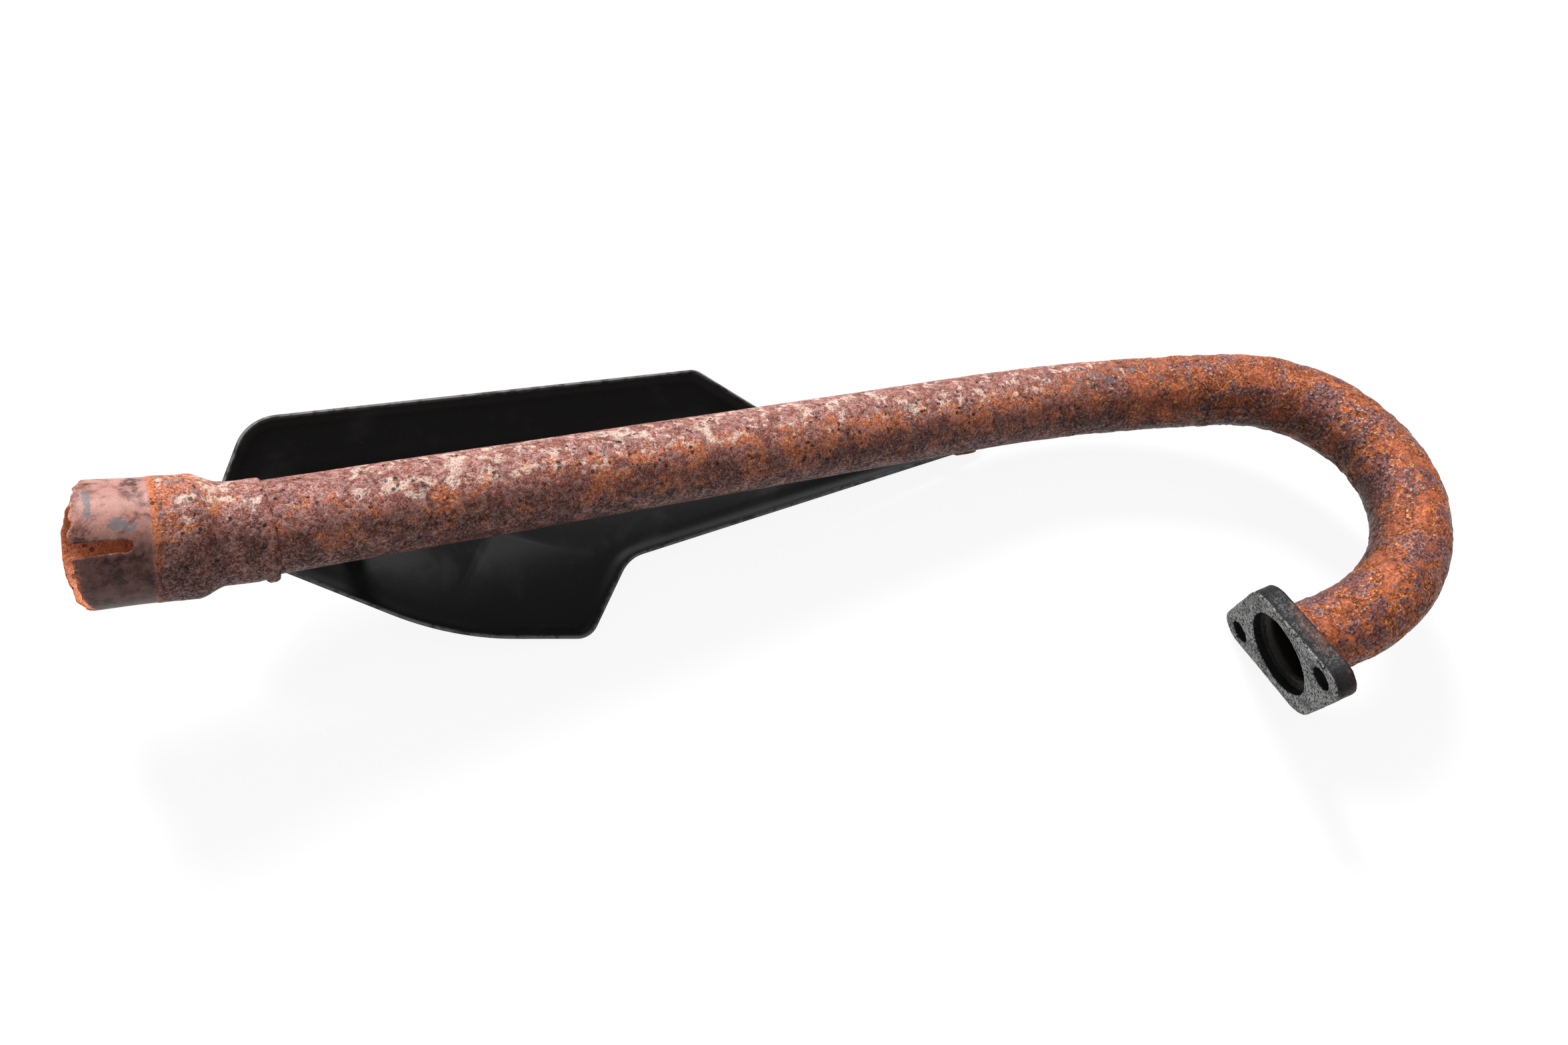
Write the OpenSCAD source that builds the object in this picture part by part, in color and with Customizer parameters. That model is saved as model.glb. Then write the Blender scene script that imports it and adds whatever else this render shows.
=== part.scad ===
// Exhaust header pipe of a small motorcycle: a bent steel tube with a two-hole port flange
// at one end, a slotted silencer socket at the other and a pressed heat shield under its
// straight run. The origin is the centre of the socket's mouth. The pipe lies as it comes to
// rest on a level floor: on the shield's lower corner, the tail screw's head and the flange.

/* [Tube] */
// Outer diameter of the bent tube
tube_od = 28.6; // [25:0.1:32]
// Wall of the bent tube
tube_wall = 1.5; // [1:0.1:2.5]
// Distance from the socket's mouth to the start of the first bend
run_len = 316; // [260:1:400]
// Centre-line radius of the long, gentle bend
sweep_radius = 227.5; // [180:0.5:280]
// Angle of the long, gentle bend
sweep_angle = 27.4; // [20:0.1:36]
// Plane of the gentle bend, turned about the straight run
sweep_turn = 113.6; // [90:0.1:130]
// Centre-line radius of the tight return bend
return_radius = 56.6; // [50:0.1:70]
// Angle of the return bend's first part
return_angle = 130; // [100:0.5:140]
// Plane of the return bend's first part, turned about the tube
return_turn = 38; // [20:0.5:60]
// Angle of the return bend's last part
finish_angle = 31.9; // [20:0.1:40]
// Plane of the return bend's last part, turned about the tube
finish_turn = 14.9; // [0:0.1:30]
// Straight stub from the return bend to the flange's gasket face
stub_len = 25.1; // [16:0.1:40]
// Height of the faint ring that the bending die leaves at each end of a bend
die_mark = 0.05; // [0.03:0.01:0.1]
// Width of that ring
die_mark_w = 1; // [0.6:0.1:2]

/* [Socket] */
// Outer diameter of the socket
socket_od = 36.6; // [34:0.1:44]
// Wall of the socket
socket_wall = 1; // [0.8:0.1:2]
// Length of the wide part of the socket
socket_len = 34.5; // [28:0.5:50]
// Length of the taper down to the neck
taper_len = 8.5; // [5:0.5:14]
// Length of the neck sleeve on the tube
neck_len = 11.5; // [10:0.5:20]
// Radial gap between the neck sleeve and the tube inside it
neck_gap = 0.05; // [0.05:0.05:0.3]
// Angle by which the socket is knocked out of line with the tube
socket_kink = 4.6; // [0:0.1:5]
// Distance of that kink from the neck's end
kink_back = 6.5; // [6:0.5:8]
// Width of the band in which the two parts of the neck run into each other at the kink
kink_band = 3; // [2.5:0.1:4]
// How deep the socket's part is sunk into the neck's wall at the kink, inside and outside
kink_cover = 0.25; // [0.2:0.05:0.35]
// Distance from the kink to the tube's end inside the neck
tube_back = 2; // [1.5:0.5:4]
// Width of the clamping slot
slot_w = 3.8; // [2:0.1:6]
// Length of the clamping slot, from the mouth to its round end
slot_len = 18.5; // [10:0.5:26]
// Angle of the slot round the socket, from the side opposite the shield
slot_turn = 10; // [-30:1:30]

/* [Welds] */
// Leg of the weld bead round the tube at the socket's neck
neck_bead = 2.2; // [1.6:0.1:3]
// Leg of the weld bead round the tube behind the flange
flange_bead = 3; // [2:0.1:4]

/* [Port flange] */
// Thickness of the flange plate
flange_thick = 8; // [6:0.5:10]
// Distance between the two stud holes
stud_spacing = 55; // [52:0.5:60]
// Diameter of each stud hole
stud_hole = 8.8; // [6.5:0.1:10]
// Radial gap between the tube's end and the edge of the gasket recess
recess_gap = 1.7; // [1:0.1:2.4]
// Depth of the gasket recess
recess_deep = 4; // [2:0.5:5]
// Distance from a stud's centre to the flange's pointed corner, before it is rounded
end_reach = 16.4; // [15:0.1:20]
// Offset of that corner from the line through the studs
end_skew = 0.2; // [0:0.1:1]
// Radius that rounds the pointed corners
end_round = 7.2; // [6:0.1:9]
// Distance from the recess's edge to the flange's blunt corner, before it is rounded
side_reach = 9.3; // [8:0.1:12]
// Offset of that corner from the middle of the plate
side_skew = 3.3; // [0:0.1:5]
// Radius that rounds the blunt corners
side_round = 12.7; // [10:0.1:16]
// Turn of the flange about the tube
flange_turn = -60.4; // [-80:0.1:-40]

/* [Heat shield] */
// Thickness of the shield's sheet
sheet = 1.2; // [0.8:0.1:1.6]
// Air gap between the tube and the shield's flat floor
shield_gap = 9.7; // [8.5:0.1:14]
// Height of the shield's splayed rim above its floor
rim_rise = 5; // [3:0.5:6]
// Width of the shield's splayed rim
rim_reach = 4.8; // [3:0.1:5]
// Diameter of the open screw hole in the shield
open_hole = 6; // [5:0.1:8]
// Place of the open screw hole along the run
open_hole_x = 128; // [115:0.5:140]
// Place of the open screw hole below the tube's axis
open_hole_y = -8.8; // [-14:0.1:-6]

/* [Shield fixings] */
// Place of the front saddle along the run
front_saddle_x = 80; // [70:1:110]
// Distance of the tail saddle back from the start of the gentle bend
tail_saddle_back = 5.5; // [5.5:0.5:30]
// Length of the shield past the tail saddle
tail_len = 20; // [14:0.5:30]
// Width of a saddle along the run
saddle_w = 10; // [8:0.5:11]
// Thickness of a saddle's strap
saddle_thick = 1.6; // [1.2:0.1:2.5]
// Half angle that the front saddle's strap covers round the tube
front_wrap = 52; // [45:1:80]
// Half angle that the tail saddle's strap covers round the tube
tail_wrap = 75; // [45:1:80]
// Diameter of the threaded boss under a saddle
boss_d = 7; // [6.5:0.5:10]
// Diameter of the screw's shank
screw_d = 4; // [3:0.5:5]
// Radial gap between a screw's shank and the shield and boss
screw_gap = 0.1; // [0.05:0.05:0.3]
// Diameter of a screw's round head
head_d = 9; // [8:0.5:11]
// Height of a screw's round head
head_h = 3; // [2:0.5:4]
// Gap between a screw's tip and the tube
tip_gap = 2; // [1:0.5:4]

/* [Rest] */
// Roll about the run that brings the resting points level
rest_roll = 26.64; // [0:0.01:60]
// Pitch that brings the resting points level
rest_pitch = 5.86; // [-15:0.01:15]

/* [Hidden] */
$fn = 96;

tube_r = tube_od / 2;
bore_r = tube_r - tube_wall;
socket_r = socket_od / 2;
socket_bore_r = socket_r - socket_wall;
neck_bore_r = tube_r + neck_gap;
neck_r = neck_bore_r + socket_wall;
taper_end = socket_len + taper_len;
neck_end = taper_end + neck_len;
kink_at = neck_end - kink_back;
tube_start = kink_at + tube_back;
shank_r = screw_d / 2;
screw_hole_r = shank_r + screw_gap;
shield_drop = tube_r + shield_gap;
shank_len = shield_gap + sheet - tip_gap;
recess_r = tube_r + recess_gap;
tail_saddle_x = run_len - tail_saddle_back;
tail_end = tail_saddle_x + tail_len;
cut = 1;

// Where a weld's face bulges, as shares of its leg
weld_toe = 0.45;
weld_crown = 0.9;

// Corners of the shield, seen from the tube: place along the run, place across it, radius
shield_corners = [
    [57.5, 38, 15], [213, 34.9, 7], [246.3, 8, 20], [tail_end, 8, 8], [tail_end, -10.8, 8],
    [172.3, -28.4, 13], [152.6, -52.9, 8], [106.5, -43.2, 110], [37.8, 2.6, 8]];

// Steps in the shield's rim, from its edge to the floor, and how sharply the rim turns up
rim_steps = 4;
rim_curve = 1.6;
rim_tilt = atan2(rim_rise, rim_reach);

// Section of the shield's pipe side, from the rim's edge to the floor: inset and height
rim_section = [
    for (k = [0:rim_steps])
        let (t = k / rim_steps)
        [rim_reach * t, rim_rise * pow(1 - t, rim_curve)]];

// Steps in each rounded corner of the shield and of the flange
shield_steps = 6;
flange_steps = 12;

// Corners of half the flange's outline; the other half is the same, turned half round
flange_half = [
    [-side_skew, recess_r + side_reach, side_round],
    [stud_spacing / 2 + end_reach, -end_skew, end_round]];
flange_corners = concat(flange_half, [for (c = flange_half) [-c[0], -c[1], c[2]]]);

// Heading from one corner to another
function heading(a, b) = atan2(b[1] - a[1], b[0] - a[0]);

// Signed turn between two headings, from -180 to 180
function turn(a, b) = let (t = b - a) t > 180 ? t - 360 : t < -180 ? t + 360 : t;

// Points of a clockwise outline whose corners are rounded and whose sides are moved inward
function inset_outline(corners, inset, steps) = [
    for (i = [0:len(corners) - 1])
        let (n = len(corners), here = corners[i],
             h0 = heading(corners[(i + n - 1) % n], here),
             h1 = heading(here, corners[(i + 1) % n]),
             t = turn(h0, h1), side = t < 0 ? -1 : 1, r = here[2],
             back = r * tan(abs(t) / 2),
             cx = here[0] - back * cos(h0) - side * r * sin(h0),
             cy = here[1] - back * sin(h0) + side * r * cos(h0))
        for (k = [0:steps])
            let (h = h0 + t * k / steps, rr = r + side * inset)
            [cx + side * rr * sin(h), cy - side * rr * cos(h)]];

// The socket's own frame, as it rests: its mouth at the origin and its axis along +X
module at_rest() {
    rotate([rest_roll, rest_pitch, 0])
        rotate([0, 0, -socket_kink])
            children();
}

// The straight run's frame: turned about the point where the neck is kinked
module on_run() {
    at_rest()
        translate([kink_at, 0, 0])
            rotate([0, 0, socket_kink])
                translate([-kink_at, 0, 0])
                    children();
}

module along_run(x) {
    translate([x, 0, 0])
        rotate([0, 90, 0])
            children();
}

// Carries its children to the start of the gentle bend, heading along +X and bending to +Y
module at_sweep() {
    translate([run_len, 0, 0])
        rotate([sweep_turn, 0, 0])
            children();
}

module past_bend(radius, angle) {
    translate([radius * sin(angle), radius * (1 - cos(angle)), 0])
        rotate([0, 0, angle])
            children();
}

module at_return() {
    at_sweep()
        past_bend(sweep_radius, sweep_angle)
            rotate([return_turn, 0, 0])
                children();
}

module at_finish() {
    at_return()
        past_bend(return_radius, return_angle)
            rotate([finish_turn, 0, 0])
                children();
}

module at_stub() {
    at_finish()
        past_bend(return_radius, finish_angle)
            children();
}

// Frame of the flange: origin at the centre of its gasket face, +Z outward, +X to a stud
module at_port() {
    at_stub()
        translate([stub_len, 0, 0])
            rotate([flange_turn, 0, 0])
                rotate([0, 90, 0])
                    children();
}

// Section of the tube's wall
module wall_section() {
    difference() {
        circle(r = tube_r);
        circle(r = bore_r);
    }
}

module straight(length) {
    along_run(0)
        linear_extrude(length)
            wall_section();
}

module bend(radius, angle) {
    translate([0, radius, 0])
        rotate([0, 0, -90])
            rotate_extrude(angle = angle)
                translate([radius, 0])
                    wall_section();
}

// The die's faint ring, inside and outside, half of it on each side of where it is placed
module bend_mark() {
    along_run(-die_mark_w / 2)
        linear_extrude(die_mark_w)
            difference() {
                circle(r = tube_r + die_mark);
                circle(r = bore_r - die_mark);
            }
}

module header_pipe() {
    color([0.43, 0.25, 0.2])
        on_run() {
            translate([tube_start, 0, 0])
                straight(run_len - tube_start);
            at_sweep() {
                bend_mark();
                bend(sweep_radius, sweep_angle);
            }
            at_return() {
                bend_mark();
                bend(return_radius, return_angle);
            }
            at_finish() {
                bend_mark();
                bend(return_radius, finish_angle);
            }
            at_stub() {
                bend_mark();
                straight(stub_len - recess_deep);
            }
        }
}

// The socket lies on its own axis as far as the kink, and the neck's end on the tube's
module silencer_socket() {
    wide = [
        [0, socket_r], [socket_len, socket_r], [taper_end, neck_r],
        [kink_at, neck_r - kink_cover], [kink_at, neck_bore_r + kink_cover],
        [taper_end, neck_bore_r + kink_cover], [socket_len, socket_bore_r],
        [0, socket_bore_r]];
    color([0.45, 0.27, 0.24]) {
        at_rest()
            difference() {
                along_run(0)
                    rotate_extrude()
                        polygon([for (p = wide) [p[1], p[0]]]);
                clamp_slot();
            }
        on_run()
            along_run(kink_at - kink_band / 2)
                sleeve(neck_r, neck_bore_r, kink_back + kink_band / 2);
    }
}

module sleeve(outer_r, inner_r, length) {
    difference() {
        cylinder(r = outer_r, h = length);
        translate([0, 0, -cut])
            cylinder(r = inner_r, h = length + 2 * cut);
    }
}

// One slot through the side of the socket, with a round inner end
module clamp_slot() {
    round_end = slot_len - slot_w / 2;
    rotate([slot_turn, 0, 0]) {
        translate([-cut, -slot_w / 2, 0])
            cube([round_end + cut, slot_w, socket_r + cut]);
        translate([round_end, 0, 0])
            cylinder(d = slot_w, h = socket_r + cut);
    }
}

// Ring of weld round the tube, its flat side on the plane where it starts; its face bulges
module weld_ring(inner_r, leg) {
    toe = leg * weld_toe;
    crown = leg * weld_crown;
    rotate_extrude()
        polygon([
            [inner_r, 0], [inner_r + leg, 0], [inner_r + crown, toe],
            [inner_r + toe, crown], [inner_r, leg]]);
}

module neck_weld() {
    color([0.5, 0.33, 0.24])
        on_run()
            along_run(neck_end)
                weld_ring(tube_r, neck_bead);
}

module port_flange() {
    color([0.4, 0.39, 0.38])
        on_run()
            at_port()
                difference() {
                    translate([0, 0, -flange_thick])
                        linear_extrude(flange_thick)
                            polygon(inset_outline(flange_corners, 0, flange_steps));
                    translate([0, 0, -flange_thick - cut])
                        cylinder(r = tube_r, h = flange_thick + 2 * cut);
                    translate([0, 0, -recess_deep])
                        cylinder(r = recess_r, h = recess_deep + cut);
                    for (side = [-1, 1])
                        translate([side * stud_spacing / 2, 0, -flange_thick - cut])
                            cylinder(d = stud_hole, h = flange_thick + 2 * cut);
                }
}

module flange_weld() {
    color([0.36, 0.24, 0.2])
        on_run()
            at_port()
                translate([0, 0, -flange_thick])
                    mirror([0, 0, 1])
                        weld_ring(tube_r, flange_bead);
}

// One closed sheet: the pipe side's rings, then the road side's rings, joined at the edge
module shield_sheet() {
    ring = len(shield_corners) * (shield_steps + 1);
    rows = rim_steps + 1;
    pipe_side = [
        for (s = rim_section)
            let (lean = sheet * sin(rim_tilt) * s[1] / rim_rise)
            for (p = inset_outline(shield_corners, lean + s[0], shield_steps))
                [p[0], p[1], s[1]]];
    road_side = [
        for (s = rim_section)
            let (lift = sheet * (1 - cos(rim_tilt)) * s[1] / rim_rise)
            for (p = inset_outline(shield_corners, s[0], shield_steps))
                [p[0], p[1], s[1] - sheet + lift]];
    under = rows * ring;
    skin = [
        for (row = [0:rows - 2])
            for (k = [0:ring - 1])
                let (a = row * ring + k, b = row * ring + (k + 1) % ring)
                each [[a, b, b + ring], [a, b + ring, a + ring],
                      [under + a, under + b + ring, under + b],
                      [under + a, under + a + ring, under + b + ring]]];
    edge = [
        for (k = [0:ring - 1])
            let (b = (k + 1) % ring)
            each [[k, under + k, under + b], [k, under + b, b]]];
    floors = [
        [for (k = [0:ring - 1]) (rows - 1) * ring + k],
        [for (k = [ring - 1:-1:0]) under + (rows - 1) * ring + k]];
    translate([0, 0, -shield_drop])
        polyhedron(concat(pipe_side, road_side), concat(skin, edge, floors));
}

module heat_shield() {
    color([0.11, 0.11, 0.12])
        on_run()
            difference() {
                shield_sheet();
                translate([open_hole_x, open_hole_y, -shield_drop - sheet - cut])
                    cylinder(d = open_hole, h = sheet + 2 * cut);
                for (x = [front_saddle_x, tail_saddle_x])
                    translate([x, 0, -shield_drop - sheet - cut])
                        cylinder(r = screw_hole_r, h = sheet + 2 * cut);
            }
}

// A strap that hugs the tube's underside, with a threaded boss that reaches the shield
module saddle(x, wrap) {
    color([0.3, 0.2, 0.17])
        on_run()
            translate([x, 0, 0])
                difference() {
                    union() {
                        rotate([0, 90, 0])
                            rotate([0, 0, -wrap])
                                translate([0, 0, -saddle_w / 2])
                                    rotate_extrude(angle = 2 * wrap)
                                        translate([tube_r, 0])
                                            square([saddle_thick, saddle_w]);
                        translate([0, 0, -shield_drop])
                            cylinder(d = boss_d, h = shield_drop - tube_r + cut);
                    }
                    rotate([0, 90, 0])
                        cylinder(r = tube_r, h = 2 * saddle_w, center = true);
                    translate([0, 0, -shield_drop - cut])
                        cylinder(r = screw_hole_r, h = shield_drop - bore_r + cut);
                }
}

module front_saddle() saddle(front_saddle_x, front_wrap);
module tail_saddle() saddle(tail_saddle_x, tail_wrap);

module screw(x) {
    color([0.2, 0.2, 0.2])
        on_run()
            translate([x, 0, -shield_drop - sheet]) {
                translate([0, 0, -head_h])
                    cylinder(d = head_d, h = head_h);
                cylinder(r = shank_r, h = shank_len);
            }
}

module front_screw() screw(front_saddle_x);
module tail_screw() screw(tail_saddle_x);

header_pipe();
silencer_socket();
neck_weld();
port_flange();
flange_weld();
heat_shield();
front_saddle();
tail_saddle();
front_screw();
tail_screw();
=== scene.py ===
import math
import bmesh
import bpy
import numpy as np
from mathutils import Matrix, Vector, noise


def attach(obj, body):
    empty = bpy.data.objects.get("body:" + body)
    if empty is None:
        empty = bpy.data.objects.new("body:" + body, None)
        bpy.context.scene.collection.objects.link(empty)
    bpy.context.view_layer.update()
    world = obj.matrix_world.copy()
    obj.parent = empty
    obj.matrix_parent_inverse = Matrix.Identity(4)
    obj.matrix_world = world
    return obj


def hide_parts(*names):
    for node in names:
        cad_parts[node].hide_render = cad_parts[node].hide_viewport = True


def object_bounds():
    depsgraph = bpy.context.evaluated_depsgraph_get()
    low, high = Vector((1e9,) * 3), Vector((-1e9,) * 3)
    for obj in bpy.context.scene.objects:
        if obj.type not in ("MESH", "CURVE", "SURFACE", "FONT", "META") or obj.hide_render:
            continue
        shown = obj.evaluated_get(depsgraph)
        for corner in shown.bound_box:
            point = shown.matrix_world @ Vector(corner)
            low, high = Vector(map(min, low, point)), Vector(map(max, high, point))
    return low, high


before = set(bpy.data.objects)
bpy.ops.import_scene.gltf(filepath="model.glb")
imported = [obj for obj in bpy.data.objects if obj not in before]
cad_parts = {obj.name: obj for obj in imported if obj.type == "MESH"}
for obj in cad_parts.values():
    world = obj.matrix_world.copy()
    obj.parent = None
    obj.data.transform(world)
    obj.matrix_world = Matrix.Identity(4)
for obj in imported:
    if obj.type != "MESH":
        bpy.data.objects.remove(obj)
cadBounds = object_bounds()
print("frame loaded")

mm = 0.001

# how the pipe lies: the straight run's tilt, and the knock that bent the socket at its neck
restPose = {"roll": 26.64, "pitch": 5.86, "kink": 4.6, "kinkAt": 48 * mm}

camera = {
    "at": (39.19 * mm, -248.09 * mm, 354.92 * mm),
    "right": (0.89847, -0.39156, 0.19854),
    "up": (0.22641, 0.80066, 0.55461),
    "back": (-0.37616, -0.45345, 0.80807),
    "lens": 31.52,
    "sensor": 36.0,
}

studio = {
    "sunFrom": (-0.05, 0.72, 0.70),    # direction towards the main lamp
    "sunStrength": 5.4,
    "sunSoft": 14,                     # degrees across
    "fillFrom": (-0.35, -0.30, 0.88),
    "fillStrength": 0.7,
    "fillSoft": 110,
    "skyStrength": 0.38,
    "floorColour": (0.42, 0.42, 0.42),
    "floorGlow": 0.82,                 # share of the floor, as the camera sees it, that is plain white
    "floorBright": 1.1,
    "floorSize": 6.0,
}


def turned(axis, degrees):
    return Matrix.Rotation(math.radians(degrees), 4, axis)


def moved(x, y=0.0, z=0.0):
    return Matrix.Translation((x, y, z))


socketFrame = turned("Y", restPose["pitch"]) @ turned("X", restPose["roll"]) @ turned("Z", -restPose["kink"])
runFrame = socketFrame @ moved(restPose["kinkAt"]) @ turned("Z", restPose["kink"]) @ moved(-restPose["kinkAt"])


def smooth(low, high, value):
    t = np.clip((value - low) / (high - low), 0.0, 1.0)
    return t * t * (3 - 2 * t)


def around(angle, centre, width):
    # 1 at the centre of a band round the tube, 0 beyond its width; angles in degrees
    away = np.abs((angle - centre + 180) % 360 - 180)
    return 1 - smooth(0.45 * width, width, away)


# camera, lamps and floor
def addObject(name, data):
    made = bpy.data.objects.new(name, data)
    bpy.context.scene.collection.objects.link(made)
    return made


def makeCamera():
    data = bpy.data.cameras.new("mainCamera")
    data.sensor_fit = "HORIZONTAL"
    data.sensor_width = camera["sensor"]
    data.lens = camera["lens"]
    data.clip_start = 0.01
    body = addObject("mainCamera", data)
    axes = Matrix((camera["right"], camera["up"], camera["back"])).transposed().to_4x4()
    body.matrix_world = Matrix.Translation(camera["at"]) @ axes
    bpy.context.scene.camera = body


def makeSun(name, towards, strength, soft):
    data = bpy.data.lights.new(name, "SUN")
    data.energy = strength
    data.angle = math.radians(soft)
    lamp = addObject(name, data)
    lamp.rotation_euler = Vector(towards).to_track_quat("Z", "Y").to_euler()


def seenDirectly(tree):
    # 1 for what the camera sees straight, in a mirror or through glass
    path = tree.nodes.new("ShaderNodeLightPath")
    total = path.outputs["Is Camera Ray"]
    for name in ("Is Glossy Ray", "Is Transmission Ray"):
        add = tree.nodes.new("ShaderNodeMath")
        add.operation = "MAXIMUM"
        tree.links.new(total, add.inputs[0])
        tree.links.new(path.outputs[name], add.inputs[1])
        total = add.outputs[0]
    return total


def makeWorld():
    world = bpy.data.worlds.new("whiteRoom")
    bpy.context.scene.world = world
    world.use_nodes = True
    tree = world.node_tree
    tree.nodes.clear()
    soft = tree.nodes.new("ShaderNodeBackground")
    soft.inputs["Strength"].default_value = studio["skyStrength"]
    white = tree.nodes.new("ShaderNodeBackground")
    white.inputs["Strength"].default_value = 1.0
    for shader in (soft, white):
        shader.inputs["Color"].default_value = (1, 1, 1, 1)
    mix = tree.nodes.new("ShaderNodeMixShader")
    out = tree.nodes.new("ShaderNodeOutputWorld")
    path = tree.nodes.new("ShaderNodeLightPath")
    tree.links.new(path.outputs["Is Camera Ray"], mix.inputs[0])
    tree.links.new(soft.outputs[0], mix.inputs[1])
    tree.links.new(white.outputs[0], mix.inputs[2])
    tree.links.new(mix.outputs[0], out.inputs["Surface"])


def makeFloor():
    half = studio["floorSize"] / 2
    level = cadBounds[0][2]
    mesh = bpy.data.meshes.new("floor")
    mesh.from_pydata([(-half, -half, level), (half, -half, level), (half, half, level), (-half, half, level)],
                     [], [(0, 1, 2, 3)])
    floor = addObject("floor", mesh)
    paint = bpy.data.materials.new("paleFloor")
    paint.use_nodes = True
    tree = paint.node_tree
    tree.nodes.clear()
    matt = tree.nodes.new("ShaderNodeBsdfDiffuse")
    matt.inputs["Color"].default_value = (*studio["floorColour"], 1)
    glow = tree.nodes.new("ShaderNodeEmission")
    glow.inputs["Strength"].default_value = studio["floorBright"]
    share = tree.nodes.new("ShaderNodeMath")
    share.operation = "MULTIPLY"
    share.inputs[1].default_value = studio["floorGlow"]
    mix = tree.nodes.new("ShaderNodeMixShader")
    out = tree.nodes.new("ShaderNodeOutputMaterial")
    tree.links.new(seenDirectly(tree), share.inputs[0])
    tree.links.new(share.outputs[0], mix.inputs[0])
    tree.links.new(matt.outputs[0], mix.inputs[1])
    tree.links.new(glow.outputs[0], mix.inputs[2])
    tree.links.new(mix.outputs[0], out.inputs["Surface"])
    mesh.materials.append(paint)


bpy.context.scene.view_settings.view_transform = "Standard"
makeCamera()
makeWorld()
makeFloor()
makeSun("mainLamp", studio["sunFrom"], studio["sunStrength"], studio["sunSoft"])
makeSun("fillLamp", studio["fillFrom"], studio["fillStrength"], studio["fillSoft"])
print("camera, lamps and floor made")


# building blocks for materials
def colour(code):
    # sRGB hex to the linear value that the shader takes
    parts = [int(code[i:i + 2], 16) / 255 for i in (0, 2, 4)]
    return [p / 12.92 if p <= 0.04045 else ((p + 0.055) / 1.055) ** 2.4 for p in parts] + [1.0]


class Paint:
    # a material being built, with short names for the nodes it uses
    def __init__(self, name):
        self.material = bpy.data.materials.new(name)
        self.material.use_nodes = True
        self.tree = self.material.node_tree
        self.tree.nodes.clear()
        self.shader = self.tree.nodes.new("ShaderNodeBsdfPrincipled")
        out = self.tree.nodes.new("ShaderNodeOutputMaterial")
        self.tree.links.new(self.shader.outputs[0], out.inputs["Surface"])
        self.coords = self.tree.nodes.new("ShaderNodeTexCoord").outputs["Object"]

    def put(self, socket, value):
        if isinstance(value, bpy.types.NodeSocket):
            self.tree.links.new(value, socket)
        else:
            socket.default_value = value

    def grain(self, size, detail=4.0, rough=0.6, bend=0.0, shift=0.0):
        # noise with features of about that size
        node = self.tree.nodes.new("ShaderNodeTexNoise")
        node.inputs["Scale"].default_value = 1 / size
        node.inputs["Detail"].default_value = detail
        node.inputs["Roughness"].default_value = rough
        node.inputs["Distortion"].default_value = bend
        self.put(node.inputs["Vector"], self.shifted(shift))
        return node.outputs["Fac"]

    def cells(self, size, shift=0.0, output="Distance"):
        # grains of about that size: the distance to the middle of each, or its own colour
        node = self.tree.nodes.new("ShaderNodeTexVoronoi")
        node.inputs["Scale"].default_value = 1 / size
        self.put(node.inputs["Vector"], self.shifted(shift))
        return node.outputs[output]

    def shifted(self, shift):
        if not shift:
            return self.coords
        node = self.tree.nodes.new("ShaderNodeVectorMath")
        node.operation = "ADD"
        self.put(node.inputs[0], self.coords)
        node.inputs[1].default_value = (shift, shift * 0.7, -shift)
        return node.outputs[0]

    def zone(self, name):
        # the three channels of a piece's painted zones
        node = self.tree.nodes.new("ShaderNodeAttribute")
        node.attribute_name = name
        split = self.tree.nodes.new("ShaderNodeSeparateColor")
        self.tree.links.new(node.outputs["Color"], split.inputs[0])
        return split.outputs[0], split.outputs[1], split.outputs[2]

    def greyOf(self, tint):
        node = self.tree.nodes.new("ShaderNodeSeparateColor")
        self.tree.links.new(tint, node.inputs[0])
        return node.outputs[0]

    def spread(self, value, low, high, start=0.0, end=1.0):
        # a soft ramp from start to end, as the value goes from low to high
        node = self.tree.nodes.new("ShaderNodeMapRange")
        node.interpolation_type = "SMOOTHSTEP"
        self.put(node.inputs["Value"], value)
        for name, number in (("From Min", low), ("From Max", high), ("To Min", start), ("To Max", end)):
            self.put(node.inputs[name], number)
        return node.outputs[0]

    def sum(self, operation, first, second):
        node = self.tree.nodes.new("ShaderNodeMath")
        node.operation = operation
        self.put(node.inputs[0], first)
        self.put(node.inputs[1], second)
        return node.outputs[0]

    def times(self, first, second):
        return self.sum("MULTIPLY", first, second)

    def total(self, *parts, offset=0.0):
        # the sum of value times weight
        level = self.times(*parts[0])
        for value, weight in parts[1:]:
            level = self.sum("ADD", level, self.times(value, weight))
        return self.sum("ADD", level, offset) if offset else level

    def above(self, value, gate, low, high):
        # how far the value passes the gate
        return self.spread(self.sum("SUBTRACT", value, gate), low, high)

    def layer(self, under, over, *shares):
        # one colour over another, by the product of the shares
        share = shares[0]
        for factor in shares[1:]:
            share = self.times(share, factor)
        node = self.tree.nodes.new("ShaderNodeMix")
        node.data_type = "RGBA"
        self.put(node.inputs[0], share)
        self.put(node.inputs[6], under)
        self.put(node.inputs[7], over)
        return node.outputs[2]

    def level(self, share, under, over):
        # a number between two others
        node = self.tree.nodes.new("ShaderNodeMix")
        node.data_type = "FLOAT"
        self.put(node.inputs[0], share)
        self.put(node.inputs[2], under)
        self.put(node.inputs[3], over)
        return node.outputs[0]

    def relief(self, height, depth, strength=1.0):
        node = self.tree.nodes.new("ShaderNodeBump")
        node.inputs["Strength"].default_value = strength
        node.inputs["Distance"].default_value = depth
        self.put(node.inputs["Height"], height)
        self.put(self.shader.inputs["Normal"], node.outputs[0])

    def finish(self, tint, rough, metal=0.0, shine=0.5):
        self.put(self.shader.inputs["Base Color"], tint)
        self.put(self.shader.inputs["Roughness"], rough)
        self.put(self.shader.inputs["Metallic"], metal)
        self.put(self.shader.inputs["Specular IOR Level"], shine)
        return self.material


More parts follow.
